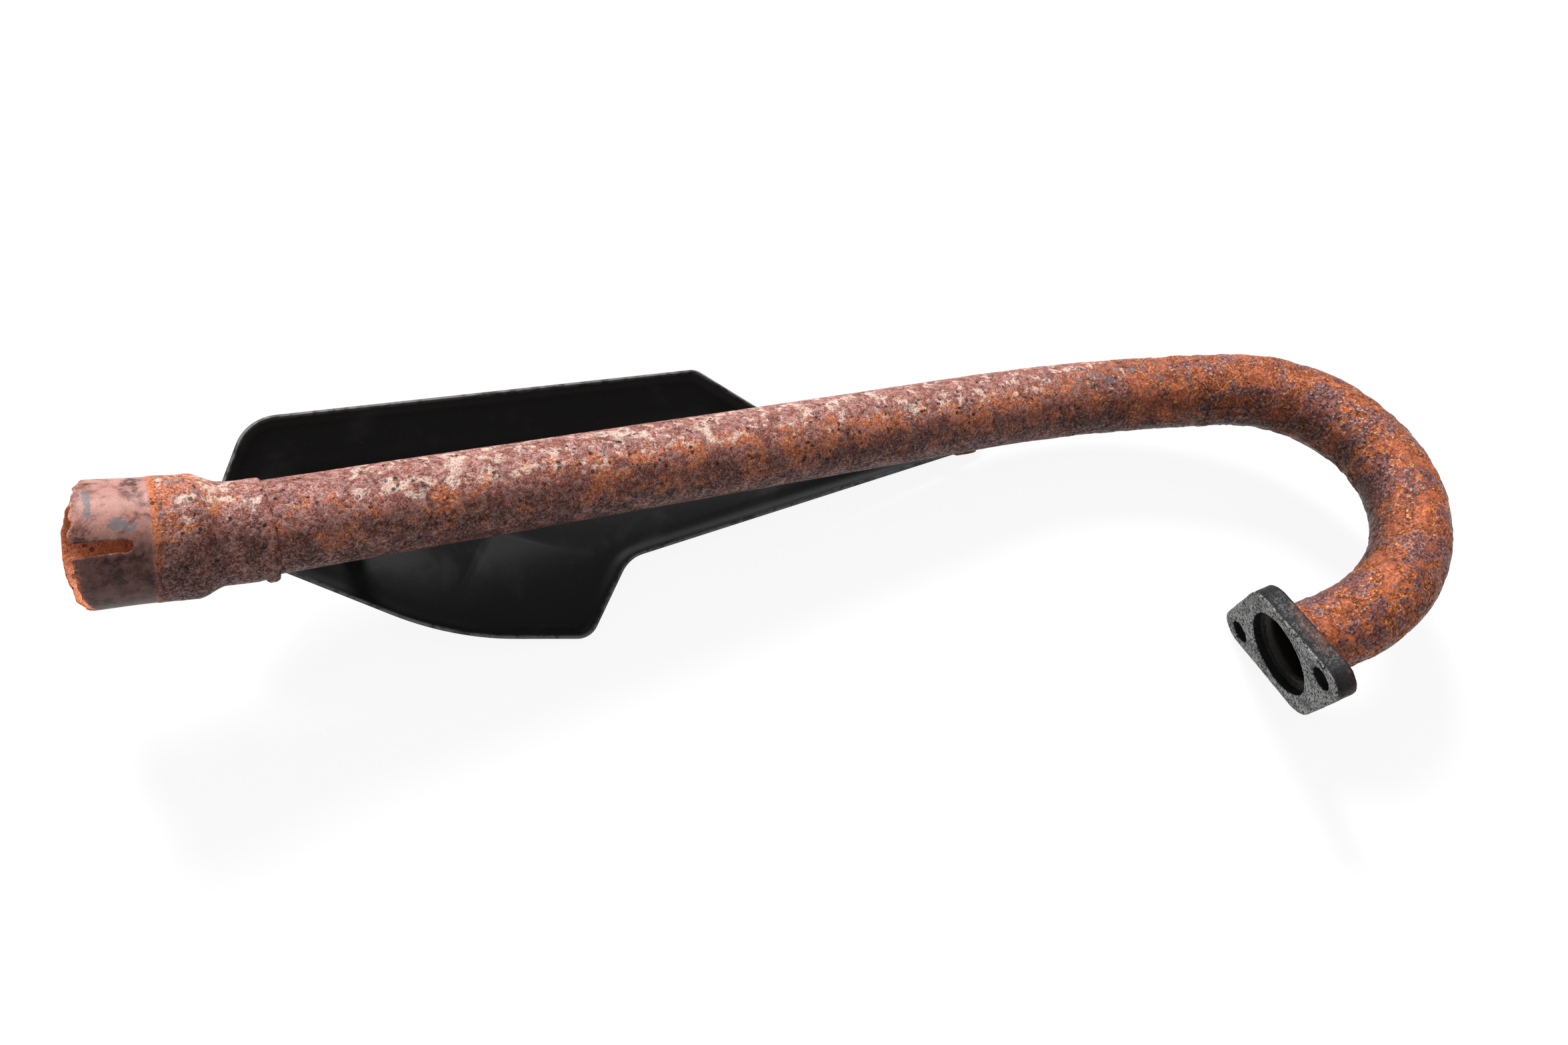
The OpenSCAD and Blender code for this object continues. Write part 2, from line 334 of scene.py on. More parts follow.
rust = {
    # colours of the fine rust, the coarse scale and the film
    "purple": colour("7a4b43"), "mauve": colour("b3837a"), "dark": colour("3d211f"),
    # the bright orange is a painted highlight: glints on specks and along plate edges
    "redBrown": colour("84442f"), "orange": colour("c2672f"), "orangeGlint": colour("f7a352"),
    # the pit colour also paints the shadow under the plates' edges, and the shade inside the tube's end
    "cream": colour("dcc4b4"), "slate": colour("5d6168"), "pit": colour("170c0b"),
    # the glint colour is a painted highlight: glints on the plates
    "plate": colour("45272a"), "glint": colour("a8a0ac"), "flake": colour("ad5a30"),
    # filmDark also paints shade on the film, and the last, dark brown colour is painted shade
    "film": colour("a3766c"), "filmDark": colour("281312"), "paintedShade": colour("25120e"),
    # sizes of the patterns
    "island": 11 * mm, "patch": 8 * mm, "paleSize": 4.8 * mm, "slateSize": 4 * mm, "mottle": 3.0 * mm,
    "granule": 1.5 * mm, "speck": 1.0 * mm, "dust": 0.5 * mm, "pitSize": 2.6 * mm, "pitGroup": 5.72 * mm,
    "bump": 0.7 * mm, "plateRough": 0.38, "filmRough": 0.46, "filmShine": 0.22,
}


def makeRust(name, look):
    # zones: cream, orange, coarse; tints: film, slate, painted shade; relief: flake field, pit, painted shade on the
    # film
    paint = Paint(name)
    spread, times, layer = paint.spread, paint.times, paint.layer
    cream, orange, coarse = paint.zone("zones")
    film, slate, paintedShade = paint.zone("tints")
    field, pitted, filmPaintedShade = paint.zone("relief")
    island = paint.grain(look["island"], 3, 0.5, 0.7, 0.43)
    patch = paint.grain(look["patch"], 5, 0.6, 0.4, 0.31)
    paleField = paint.grain(look["paleSize"], 5, 0.58, 0.4, 0.19)
    slateField = paint.grain(look["slateSize"], 5, 0.6, 0.4, 0.67)
    mottle = paint.grain(look["mottle"], 6, 0.68, 0.15)
    speck = paint.grain(look["speck"], 4, 0.65, 0.2, 0.57)
    dust = paint.grain(look["dust"], 2, 0.6, 0.0, 0.37)
    granules = paint.cells(look["granule"], 0.23)
    granuleTone = paint.greyOf(paint.cells(look["granule"], 0.23, "Color"))
    pitDistance = paint.sum("ADD", paint.cells(look["pitSize"], 0.11), times(speck, 0.3))
    pitChoice = paint.grain(look["pitGroup"], 2, 0.5, 0, 0.83)
    pit = times(spread(pitDistance, 0.50, 0.30), spread(pitChoice, 0.50, 0.60))

    # fine rust: mauve and dark granules, broken by red-brown
    tone = layer(look["dark"], look["purple"], spread(mottle, 0.32, 0.50, 0.2, 1.0))
    tone = layer(tone, look["mauve"], spread(patch, 0.42, 0.60), spread(speck, 0.38, 0.60))
    tone = layer(tone, look["mauve"], spread(granuleTone, 0.45, 0.75), 0.55)
    tone = layer(tone, look["redBrown"], spread(granuleTone, 0.42, 0.15), 0.65)

    # coarse scale: dark plates over flaky brown; their orange edges are partly painted highlight, with painted
    # glints on them and on the plates, and a painted shadow under each edge
    lifted = paint.total((field, 0.25), (island, 1.5), (mottle, 0.45), (speck, 0.25), offset=-0.695)
    plate = spread(lifted, 0.49, 0.53)
    rim = times(spread(lifted, 0.46, 0.50), spread(lifted, 0.60, 0.53))
    # painted shadow: a dark line just below each plate's edge
    paintedPlateShadow = times(spread(lifted, 0.40, 0.45), spread(lifted, 0.49, 0.455))
    scale = layer(look["redBrown"], look["flake"], spread(speck, 0.32, 0.68))
    scale = layer(scale, look["dark"], spread(mottle, 0.44, 0.34), 0.7)
    scale = layer(scale, look["orange"], spread(mottle, 0.50, 0.58), spread(speck, 0.42, 0.58), 0.8)
    plateTone = layer(look["plate"], look["purple"], spread(speck, 0.40, 0.60))
    plateTone = layer(plateTone, look["redBrown"], spread(granuleTone, 0.60, 0.90))
    # painted highlight: pale blue-grey glints on the plates
    plateTone = layer(plateTone, look["glint"], spread(speck, 0.54, 0.64), spread(mottle, 0.46, 0.60), 0.6)
    scale = layer(scale, plateTone, plate)
    # orange along the plates' edges, partly painted highlight, then painted orange glints there
    scale = layer(scale, look["orange"], rim, spread(patch, 0.40, 0.55, 0.3, 1.0))
    scale = layer(scale, look["orangeGlint"], rim, spread(speck, 0.56, 0.64))
    # painted shadow under the plates' edges
    scale = layer(scale, look["pit"], paintedPlateShadow, 0.8)
    tone = layer(tone, scale, coarse)

    # orange specks, in clusters where the band is strong, with painted orange glints on some
    cluster = paint.total((mottle, 0.45), (patch, 0.55))
    specks = paint.above(cluster, spread(orange, 0.0, 1.0, 0.66, 0.46), -0.02, 0.05)
    tone = layer(tone, look["orange"], specks, spread(speck, 0.42, 0.58, 0.25, 1.0))
    # painted highlight: bright orange glints on the specks
    tone = layer(tone, look["orangeGlint"], specks, spread(speck, 0.58, 0.68))
    tone = layer(tone, look["orange"], spread(orange, 0.90, 1.0), spread(speck, 0.36, 0.50, 0.55, 0.95))

    # pale patches, broken by granules; the zones put them on the side facing the main lamp, so they are partly
    # painted highlight
    pale = paint.above(paleField, spread(cream, 0.0, 1.0, 0.76, 0.50), 0.0, 0.08)
    broken = spread(granuleTone, 0.16, 0.34, 0.2, 1.0)
    tone = layer(tone, look["cream"], pale, 0.85, spread(speck, 0.64, 0.50, 0.3, 0.92), broken)

    # smooth film over the socket
    filmTone = layer(look["filmDark"], look["film"], spread(patch, 0.36, 0.56))
    filmTone = layer(filmTone, look["mauve"], spread(mottle, 0.44, 0.60), 0.55)
    filmTone = layer(filmTone, look["redBrown"], spread(mottle, 0.46, 0.34), 0.75)
    filmTone = layer(filmTone, look["flake"], spread(speck, 0.58, 0.66), 0.5)
    # painted shade: the film darkens on the socket's lower side and inside the tube
    filmTone = layer(filmTone, look["filmDark"], filmPaintedShade, spread(mottle, 0.62, 0.40, 0.82, 1.0))
    tone = layer(tone, filmTone, film)

    # slate stains (where the first bend faces the lamp, partly a painted blue-grey highlight) and painted shade,
    # then dust and pits where the rust isn't smooth
    stain = paint.above(slateField, spread(slate, 0.0, 1.0, 0.86, 0.40), 0.0, 0.08)
    tone = layer(tone, look["slate"], stain, 0.75)
    # painted shade: darker on the side turned from the main lamp, on the saddles under the tube and inside the tube
    tone = layer(tone, look["paintedShade"], paintedShade, spread(patch, 0.66, 0.36, 0.45, 0.95))
    sharp = paint.sum("SUBTRACT", 1.0, paint.sum("MAXIMUM", times(film, 0.85), times(coarse, 0.65)))
    tone = layer(tone, look["dark"], spread(dust, 0.50, 0.36), sharp, 0.65)
    tone = layer(tone, look["mauve"], spread(dust, 0.52, 0.66), sharp, 0.4)
    tone = layer(tone, look["pit"], pit, sharp, 0.85)
    # near-black in the deep pits, and soot with painted shade at the tube's end and inside it
    tone = layer(tone, look["pit"], pitted)

    raised = times(plate, coarse)
    height = paint.total((mottle, 0.8), (speck, 0.55), (granules, paint.level(coarse, -0.35, -0.1)),
                         (raised, 0.8), (pit, -0.6))
    paint.relief(times(height, paint.level(film, 1.0, 0.15)), look["bump"])
    rough = paint.level(raised, spread(speck, 0.35, 0.65, 0.75, 0.42), look["plateRough"])
    rough = paint.level(film, rough, look["filmRough"])
    shine = paint.level(film, spread(speck, 0.48, 0.64, 0.12, 0.7), look["filmShine"])
    return paint.finish(tone, rough, shine=shine)


rustPaint = makeRust("rustedSteel", rust)
print("rust material made")


# building blocks for meshes
def gridFaces(rows, columns, offset=0, flip=False):
    # quads between rows of points that each close on themselves
    faces = []
    for r in range(rows - 1):
        for c in range(columns):
            a = offset + r * columns + c
            b = offset + r * columns + (c + 1) % columns
            quad = (a, b, b + columns, a + columns)
            faces.append(quad[::-1] if flip else quad)
    return faces


def joinRings(first, second, columns, flip=False):
    # quads between two rings, given the first point of each
    faces = []
    for c in range(columns):
        n = (c + 1) % columns
        quad = (first + c, first + n, second + n, second + c)
        faces.append(quad[::-1] if flip else quad)
    return faces


def makeMesh(name, points, faces):
    mesh = bpy.data.meshes.new(name)
    mesh.from_pydata([tuple(p) for p in points], [], faces)
    work = bmesh.new()
    work.from_mesh(mesh)
    bmesh.ops.recalc_face_normals(work, faces=work.faces)
    work.to_mesh(mesh)
    work.free()
    return mesh


def makePiece(name, points, faces, material, node):
    mesh = makeMesh(name, points, faces)
    mesh.materials.append(material)
    mesh.shade_smooth()
    piece = addObject(name, mesh)
    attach(piece, "root")
    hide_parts(node)
    return piece


def paintZones(piece, name, red, green, blue):
    # three values per vertex, which the materials read; each is an array or one number
    mesh = piece.data
    layer = mesh.color_attributes.new(name=name, type="FLOAT_COLOR", domain="POINT")
    values = np.ones((len(mesh.vertices), 4), dtype=np.float32)
    for channel, value in enumerate((red, green, blue)):
        values[:, channel] = np.clip(value, 0, 1)
    layer.data.foreach_set("color", values.ravel())


def pointsOf(piece):
    flat = np.empty(len(piece.data.vertices) * 3)
    piece.data.vertices.foreach_get("co", flat)
    return flat.reshape(-1, 3)


def intoFrame(points, place):
    # the points in the place's own axes
    back = np.array(place.inverted())
    return points @ back[:3, :3].T + back[:3, 3]


def cutAway(piece, outline, place, low, high):
    # cuts the outline out of the piece, between two heights of the place's Z
    cutter = prism(outline, place, low, high)
    change = piece.modifiers.new("cut", "BOOLEAN")
    change.operation = "DIFFERENCE"
    change.solver = "EXACT"
    change.object = cutter
    applyAll(piece)
    bpy.data.objects.remove(cutter)


def applyAll(piece):
    bpy.context.view_layer.update()
    made = bpy.data.meshes.new_from_object(piece.evaluated_get(bpy.context.evaluated_depsgraph_get()))
    old = piece.data
    piece.modifiers.clear()
    piece.data = made
    bpy.data.meshes.remove(old)


def prism(outline, place, low, high):
    count = len(outline)
    points = [place @ Vector((x, y, z)) for z in (low, high) for x, y in outline]
    faces = [tuple(range(count)), tuple(range(2 * count - 1, count - 1, -1))]
    faces += [(i, (i + 1) % count, count + (i + 1) % count, count + i) for i in range(count)]
    return addObject("cutter", makeMesh("cutter", points, faces))


def circle(radius, count=48, x=0.0, y=0.0):
    return [(x + radius * math.cos(2 * math.pi * k / count), y + radius * math.sin(2 * math.pi * k / count))
            for k in range(count)]


# the bent tube, solved as straight pieces and bends
tube = {
    "radius": 14.3 * mm, "wall": 1.5 * mm,
    "start": 50 * mm, "runEnd": 316 * mm,
    # radius, angle, and the bend's plane, turned about the tube
    "bends": [(227.5 * mm, 27.4, 113.6), (56.6 * mm, 130.0, 151.6), (56.6 * mm, 31.9, 166.5)],
    "stub": 21.1 * mm,
    "step": 0.95 * mm, "columns": 100,
    "innerRows": 160,
    "grainRise": 0.07 * mm, "flakeRise": 0.32 * mm, "lumpRise": 0.16 * mm, "pitDepth": 0.22 * mm,
    # bands round the tube, as centre and width in degrees: 0 at the back, 90 on top, 180 at the front; the pale and
    # blue bands face the main lamp and are partly painted highlight, and the last band is painted shade on the side
    # turned from it
    "paleBand": (45, 70), "orangeBand": (105, 50), "slateBand": (75, 50), "blueBand": (50, 50),
    "paintedShadeBand": (180, 92),
    # where each look starts and ends, in mm from the tube's hidden end
    "coarseFrom": (250, 365), "paleFrom": (5, 40), "paleThins": (215, 280), "paleEnds": (315, 375),
    "orangeGrows": (60, 150), "blueAt": 320, "blueLong": 30,
    # mm before the tube's end, from rust to near black: soot and painted shade where the tube's end sits in the
    # flange
    "sootAndShadeFrom": (-6, -4.5),
}


def pathPieces():
    here = runFrame @ moved(tube["start"])
    run = tube["runEnd"] - tube["start"]
    pieces = [(run, here, None, 0)]
    here = here @ moved(run)
    for radius, angle, turn in tube["bends"]:
        pieces.append((radius * math.radians(angle), here, radius, turn))
        here = onBend(here, radius, math.radians(angle), turn)
    pieces.append((tube["stub"], here, None, 0))
    return pieces


def onBend(begin, radius, angle, turn):
    out = moved(radius * math.sin(angle), radius * (1 - math.cos(angle)))
    return begin @ turned("X", turn) @ out @ Matrix.Rotation(angle, 4, "Z") @ turned("X", -turn)


tubePath = pathPieces()
tubeLength = sum(piece[0] for piece in tubePath)


def alongTube(distance):
    # the frame at that distance from the tube's hidden end: X along the tube
    for length, begin, radius, turn in tubePath:
        if distance <= length or begin is tubePath[-1][1]:
            if radius is None:
                return begin @ moved(distance)
            return onBend(begin, radius, distance / radius, turn)
        distance -= length


def scaleRelief(point, coarse):
    # height of the rust there, and how far it is a plate or a pit
    lumps = noise.fractal(point * 60, 1.0, 2.0, 3)
    flakes = noise.fractal(point * 150 + Vector((3, 1, 7)), 0.85, 2.1, 4)
    plate = min(1.0, max(0.0, (flakes + 0.04) / 0.16))
    grain = noise.noise(point * 620)
    near = noise.voronoi(point * 300)[0][0]
    chance = noise.noise(point * 90 + Vector((9, 4, 2)))
    pit = min(1.0, max(0.0, (0.42 - near) / 0.25)) if chance > 0.05 else 0.0
    height = (tube["lumpRise"] * lumps * (0.5 + coarse) + tube["flakeRise"] * coarse * (plate - 0.5)
              + tube["grainRise"] * grain * (0.6 + coarse) - tube["pitDepth"] * pit * (0.4 + coarse))
    return height, min(1.0, max(0.0, 0.5 + 0.5 * flakes)), pit


def makeTube():
    columns = tube["columns"]
    rows = int(tubeLength / tube["step"]) + 1
    angles = [2 * math.pi * c / columns for c in range(columns)]
    points, zoneRows = [], []
    for r in range(rows):
        distance = tubeLength * r / (rows - 1)
        here = alongTube(distance)
        coarse = float(smooth(*tube["coarseFrom"], distance / mm))
        fade = float(smooth(0, 9 * mm, distance) * smooth(0, 4 * mm, tubeLength - distance))
        for angle in angles:
            outward = Vector((0, math.cos(angle), math.sin(angle)))
            flat = here @ (outward * tube["radius"])
            height, plate, pit = scaleRelief(flat, coarse)
            points.append(here @ (outward * (tube["radius"] + height * fade)))
            zoneRows.append((distance, math.degrees(angle), plate, pit, coarse))
    outer = len(points)
    innerRows = tube["innerRows"]
    for r in range(innerRows):
        here = alongTube(tubeLength * r / (innerRows - 1))
        for angle in angles:
            outward = Vector((0, math.cos(angle), math.sin(angle)))
            points.append(here @ (outward * (tube["radius"] - tube["wall"])))
    faces = gridFaces(rows, columns)
    faces += gridFaces(innerRows, columns, outer, True)
    faces += joinRings(0, outer, columns)
    faces += joinRings((rows - 1) * columns, outer + (innerRows - 1) * columns, columns, True)
    piece = makePiece("rustyTube", points, faces, rustPaint, "header_pipe")

    zone = np.array(zoneRows)
    distance, angle, plate, pit, coarse = zone.T
    along = distance / mm
    pad = np.zeros(len(points) - outer)

    def full(values, inside=0.0):
        # the outside's values, then one for the whole of the inside
        return np.concatenate([values, pad + inside])

    thins = 1 - 0.15 * smooth(*tube["paleThins"], along)
    # pale patches on the side facing the main lamp: partly painted highlight
    cream = around(angle, *tube["paleBand"]) * smooth(*tube["paleFrom"], along) * thins
    cream *= 0.9 * (1 - smooth(*tube["paleEnds"], along))
    grows = 0.44 + 0.14 * smooth(*tube["orangeGrows"], along)
    orange = (0.2 + grows * around(angle, *tube["orangeBand"])) * (1 - coarse) + 0.44 * coarse
    # blue-grey where the first bend faces the lamp: painted highlight, drawn as slate stain
    blueGrey = np.exp(-((along - tube["blueAt"]) / tube["blueLong"]) ** 2) * around(angle, *tube["blueBand"])
    slate = 0.2 + 0.3 * around(angle, *tube["slateBand"]) + 0.15 * blueGrey
    # painted shade on the side turned from the main lamp
    paintedShade = around(angle, *tube["paintedShadeBand"]) * 0.9
    # dark pits, and near-black soot with painted shade over the tube's last millimetres
    pitsSootAndShade = np.maximum(pit * 0.5, smooth(*tube["sootAndShadeFrom"], (distance - tubeLength) / mm))
    none = np.zeros(outer)
    # the inside gets the film, painted shade and the near-black of soot and shade
    paintZones(piece, "zones", full(cream), full(orange, 0.4), full(coarse))
    paintZones(piece, "tints", full(none, 1.0), full(slate), full(paintedShade, 1.0))
    paintZones(piece, "relief", full(plate, 0.5), full(pitsSootAndShade, 1.0), full(none, 1.0))


makeTube()
print("tube made")


# the silencer socket, with its worn rim, its slot and its neck on the tube
socket = {
    "radius": 18.2 * mm, "wall": 1.0 * mm,
    "wideEnd": 34.0 * mm, "taperEnd": 42.6 * mm, "neckEnd": 54.5 * mm, "neckRadius": 15.2 * mm,
    # how far the rim is worn back, by angle round the socket
    "rim": [(0, 8), (20, 6.4), (40, 4.6), (60, 3.5), (72, 2.7), (78, 3.5), (90, 2.1), (105, 2.3), (120, 3.2),
            (135, 3.6), (150, 4.4), (165, 5.8), (180, 7.4), (200, 5), (225, 2.3), (255, 0.4), (270, 0),
            (290, 0.3), (310, 1.8), (330, 4.4), (345, 6.4)],
    "nick": 0.35 * mm, "lip": 0.25 * mm, "lipWall": 0.55,
    "flare": 0.4 * mm, "flareFrom": 22 * mm,
    "step": 0.62 * mm, "columns": 176,
    # the crust that starts behind the smooth end
    "stepAt": 23.4 * mm, "stepRise": 0.13 * mm, "stepWave": 0.7 * mm, "crust": 0.16 * mm, "dent": 0.05 * mm,
    # bands, as on the tube: the upper one faces the main lamp, and its cream and extra orange are partly painted
    # highlight, the lower one is painted shade; then the grey stains: mm along, angle and spread of each
    "upperBand": (40, 75), "lowerBand": (175, 112), "slateBand": (110, 60),
    "streak": (7.7, 0.9, 60, 20), "stain": (16.2, 3.4, 83, 7),
    "slotAngle": 101, "slotCut": (10 * mm, 24 * mm),
    # outline of the clamping slot: along the socket, across it
    "slot": [(-3, 2.75), (3, 2.6), (13.8, 1.75), (15.4, 1.9), (16.6, 2.0), (17.7, 1.5), (18.3, 0.3), (18.1, -1.0),
             (16.9, -1.55), (-3, -1.75)],
}


def rimAt(angle):
    # worn depth of the rim there, in metres, on a smooth curve through the named depths
    marks = socket["rim"]
    turn = angle % 360
    for i, (here, depth) in enumerate(marks):
        there, nextDepth = marks[(i + 1) % len(marks)]
        there = there if there > here else there + 360
        if here <= turn < there:
            return mm * (depth + (nextDepth - depth) * float(smooth(here, there, turn)))
    return mm * marks[0][1]


def socketRadius(x):
    taper = float(smooth(socket["wideEnd"], socket["taperEnd"], x))
    flare = socket["flare"] * (1 - float(smooth(4 * mm, socket["flareFrom"], x)))
    return socket["radius"] + flare + (socket["neckRadius"] - socket["radius"]) * taper


def socketAxis(x):
    # the socket's own axis as far as the kink, then the tube's
    share = float(smooth(restPose["kinkAt"] - 5 * mm, restPose["kinkAt"] + 5 * mm, x))
    a = socketFrame @ moved(x)
    b = runFrame @ moved(x)
    return a.lerp(b, share)


def makeSocket():
    columns = socket["columns"]
    rows = int(socket["neckEnd"] / socket["step"]) + 1
    points, outer = [], rows * columns
    for side in (0, 1):
        for r in range(rows):
            for c in range(columns):
                degrees = 360 * c / columns
                angle = math.radians(degrees)
                nick = socket["nick"] * noise.noise(Vector((math.cos(angle) * 9, math.sin(angle) * 9, 3)))
                start = max(0.0, rimAt(degrees) + nick)
                x = start + (socket["neckEnd"] - start) * r / (rows - 1)
                here = socketAxis(x)
                outward = Vector((0, math.cos(angle), math.sin(angle)))
                radius = socketRadius(x)
                if side:
                    radius -= socket["wall"] * (socket["lipWall"] if r == 0 else 1)
                else:
                    spot = here @ (outward * radius)
                    wave = socket["stepWave"] * noise.noise(spot * 110)
                    crust = float(smooth(-0.4 * mm, 0.5 * mm, x - socket["stepAt"] - wave))
                    radius += crust * (socket["stepRise"] + socket["crust"] * noise.fractal(spot * 260, 0.9, 2.1, 3))
                    radius += socket["dent"] * noise.noise(spot * 90)
                    if r == 0:
                        radius -= socket["lip"]
                points.append(here @ (outward * radius))
    faces = gridFaces(rows, columns) + gridFaces(rows, columns, outer, True)
    faces += joinRings(0, outer, columns)
    faces += joinRings(outer - columns, 2 * outer - columns, columns, True)
    piece = makePiece("wornSocket", points, faces, rustPaint, "silencer_socket")

    face = socketFrame @ turned("X", socket["slotAngle"] - 90)
    cutAway(piece, [(x * mm, -y * mm) for x, y in socket["slot"]], face, *socket["slotCut"])
    piece.data.shade_smooth()

    local = intoFrame(pointsOf(piece), socketFrame) / mm
    x, y, z = local.T
    angle = np.degrees(np.arctan2(z, y)) % 360
    radius = np.hypot(y, z)
    outerRadius = np.array([socketRadius(v * mm) / mm for v in x])
    inside = 1 - smooth(outerRadius - 0.75, outerRadius - 0.4, radius)
    film = (1 - smooth(22.6, 24.0, x)) * (1 - inside)
    line = np.exp(-((x - 24.0) / 0.9) ** 2) * (1 - inside)
    # the side facing the main lamp
    upper = around(angle, *socket["upperBand"])
    fromRim = x - np.array([rimAt(a) / mm for a in angle])
    rimLine = np.exp(-(np.clip(fromRim, 0, 9) / 0.9) ** 2)
    slotAcross = np.radians((angle - socket["slotAngle"] + 180) % 360 - 180) * socket["radius"] / mm
    # orange on the lit edge of the slot: rust, partly painted highlight
    slotEdge = np.exp(-((np.abs(slotAcross) - 1.9) / 0.5) ** 2) * (x < 18) * (angle > socket["slotAngle"])
    # cream, and extra orange, on the side facing the lamp: partly painted highlight
    cream = smooth(23, 26, x) * (1 - 0.4 * smooth(40, 50, x)) * upper * (1 - inside)
    behind = x > 23
    orange = (0.42 + 0.33 * upper) * behind * (1 - 0.5 * smooth(38, 48, x)) + 0.7 * line + rimLine
    orange = np.clip(orange + 1.3 * inside + slotEdge, 0, 1.3)
    streakAt, streakWide, streakAngle, streakTurn = socket["streak"]
    streak = np.exp(-((x - streakAt) / streakWide) ** 2) * around(angle, streakAngle, streakTurn)
    stainAt, stainLong, stainAngle, stainTurn = socket["stain"]
    stain = np.exp(-(((x - stainAt) / stainLong) ** 2 + ((angle - stainAngle) / stainTurn) ** 2))
    slate = 0.30 * film + 1.1 * streak + 1.3 * stain + 0.2 * behind * around(angle, *socket["slateBand"])
    # painted shade on the lower side, over the crust and the film
    low = around(angle, *socket["lowerBand"])
    paintedShade = low * 0.85 * (1 - inside) * (1 - film)
    smoothed = np.maximum(film * (1 - np.clip(rimLine + slotEdge, 0, 1)), 0.2 * inside)
    paintZones(piece, "zones", cream, orange, 0)
    paintZones(piece, "tints", smoothed, np.clip(slate, 0, 1) * (1 - inside), paintedShade)
    # painted shade on the film's lower side
    paintZones(piece, "relief", 0.5, 0, low * 0.9 * film)


makeSocket()
print("socket made")


# weld beads, at the socket's neck and behind the flange
welds = {
    "neck": {"place": runFrame @ moved(54.1 * mm), "radius": 14.3 * mm, "leg": 1.6 * mm, "seed": 5,
             "from": -75, "sag": 0.38},
    "flange": {"radius": 14.3 * mm, "leg": 2.9 * mm, "seed": 11, "from": 0, "sag": 0.0},
    "columns": 220, "arc": 12, "ripple": 0.22 * mm, "pitch": 2.2 * mm, "grain": 0.12 * mm,
}


def makeBead(name, place, look, node):
    # a bead round the tube, with the ripples that the torch leaves
    columns, arc = welds["columns"], welds["arc"]
    radius, leg, seed = look["radius"], look["leg"], look["seed"]
    begin = math.radians(look["from"])
    points = []
    for k in range(arc + 1):
        sweep = begin + (math.pi / 2 - begin) * k / arc
        for c in range(columns):
            angle = 2 * math.pi * c / columns
            ring = Vector((math.cos(angle), math.sin(angle), seed))
            size = leg * (0.88 + 0.14 * noise.noise(ring * 2.2) - look["sag"] * math.cos(angle))
            wave = math.sin(angle * radius * math.pi / welds["pitch"])
            size += welds["ripple"] * wave * math.sin(2 * sweep)
            size += welds["grain"] * noise.noise(Vector((ring.x * 9, ring.y * 9, sweep * 3 + seed)))
            out = radius + max(0.1 * mm, size * math.cos(sweep)) if k < arc else radius
            points.append(place @ Vector((size * math.sin(sweep), out * math.cos(angle), out * math.sin(angle))))
    base = len(points)
    for c in range(columns):
        angle = 2 * math.pi * c / columns
        points.append(place @ Vector((leg * math.sin(begin), radius * math.cos(angle), radius * math.sin(angle))))
    faces = gridFaces(arc + 1, columns)
    faces += joinRings(0, base, columns, True)
    faces += joinRings(arc * columns, base, columns)
    piece = makePiece(name, points, faces, rustPaint, node)
    local = intoFrame(pointsOf(piece), place)
    angle = np.degrees(np.arctan2(local[:, 2], local[:, 1])) % 360
    # pale on the lamp side, partly painted highlight; painted shade on the side turned from it
    paintZones(piece, "zones", around(angle, *tube["paleBand"]) * 0.6, 0.35, 0.3)
    paintZones(piece, "tints", 0, 0.2, around(angle, *tube["paintedShadeBand"]) * 0.8)
    paintZones(piece, "relief", 0.5, 0, 0)


makeBead("neckBead", welds["neck"]["place"], welds["neck"], "neck_weld")

port = {
    "turn": -60.4, "studSpacing": 55 * mm, "stud": 4.4 * mm,
    "recess": 16 * mm, "recessDeep": 4 * mm, "thick": 8 * mm, "bore": 14.3 * mm,
    # corners of half the outline: along the studs, across them, radius
    "corners": [(-3.3, 25.3, 12.7), (43.9, -0.2, 7.2)],
    "seamAt": 1.5 * mm, "seamDeep": 0.45 * mm, "seamWide": 0.55 * mm,
    "edge": 0.5 * mm, "voxel": 0.42 * mm, "pitting": 0.10 * mm,
}
portEnd = tubePath[-1][1] @ moved(tube["stub"] + port["recessDeep"]) @ turned("X", tube["bends"][-1][2])
portFrame = portEnd @ turned("X", port["turn"]) @ turned("Y", 90)

beadPlace = portFrame @ moved(0, 0, -port["thick"]) @ turned("Y", 90)
makeBead("flangeBead", beadPlace, welds["flange"], "flange_weld")
print("weld beads made")


# the port flange
def roundedOutline(corners, inset, steps):
    # points of a clockwise outline whose corners are rounded and sides moved inward
    count, points = len(corners), []
    for i, (x, y, radius) in enumerate(corners):
        before, after = corners[i - 1], corners[(i + 1) % count]
        h0 = math.atan2(y - before[1], x - before[0])
        h1 = math.atan2(after[1] - y, after[0] - x)
        turn = (h1 - h0 + math.pi) % (2 * math.pi) - math.pi
        side = -1 if turn < 0 else 1
        back = radius * math.tan(abs(turn) / 2)
        cx = x - back * math.cos(h0) - side * radius * math.sin(h0)
        cy = y - back * math.sin(h0) + side * radius * math.cos(h0)
        for k in range(steps + 1):
            h = h0 + turn * k / steps
            reach = side * (radius + side * inset)
            points.append((cx + reach * math.sin(h), cy - reach * math.cos(h)))
    return points


def stackOutlines(rings, place):
    # closed solid through outlines at rising or falling heights
    count = len(rings[0][0])
    points = [place @ Vector((x, y, z)) for outline, z in rings for x, y in outline]
    faces = gridFaces(len(rings), count)
    faces.append(tuple(range(count))[::-1])
    faces.append(tuple(range((len(rings) - 1) * count, len(rings) * count)))
    return points, faces


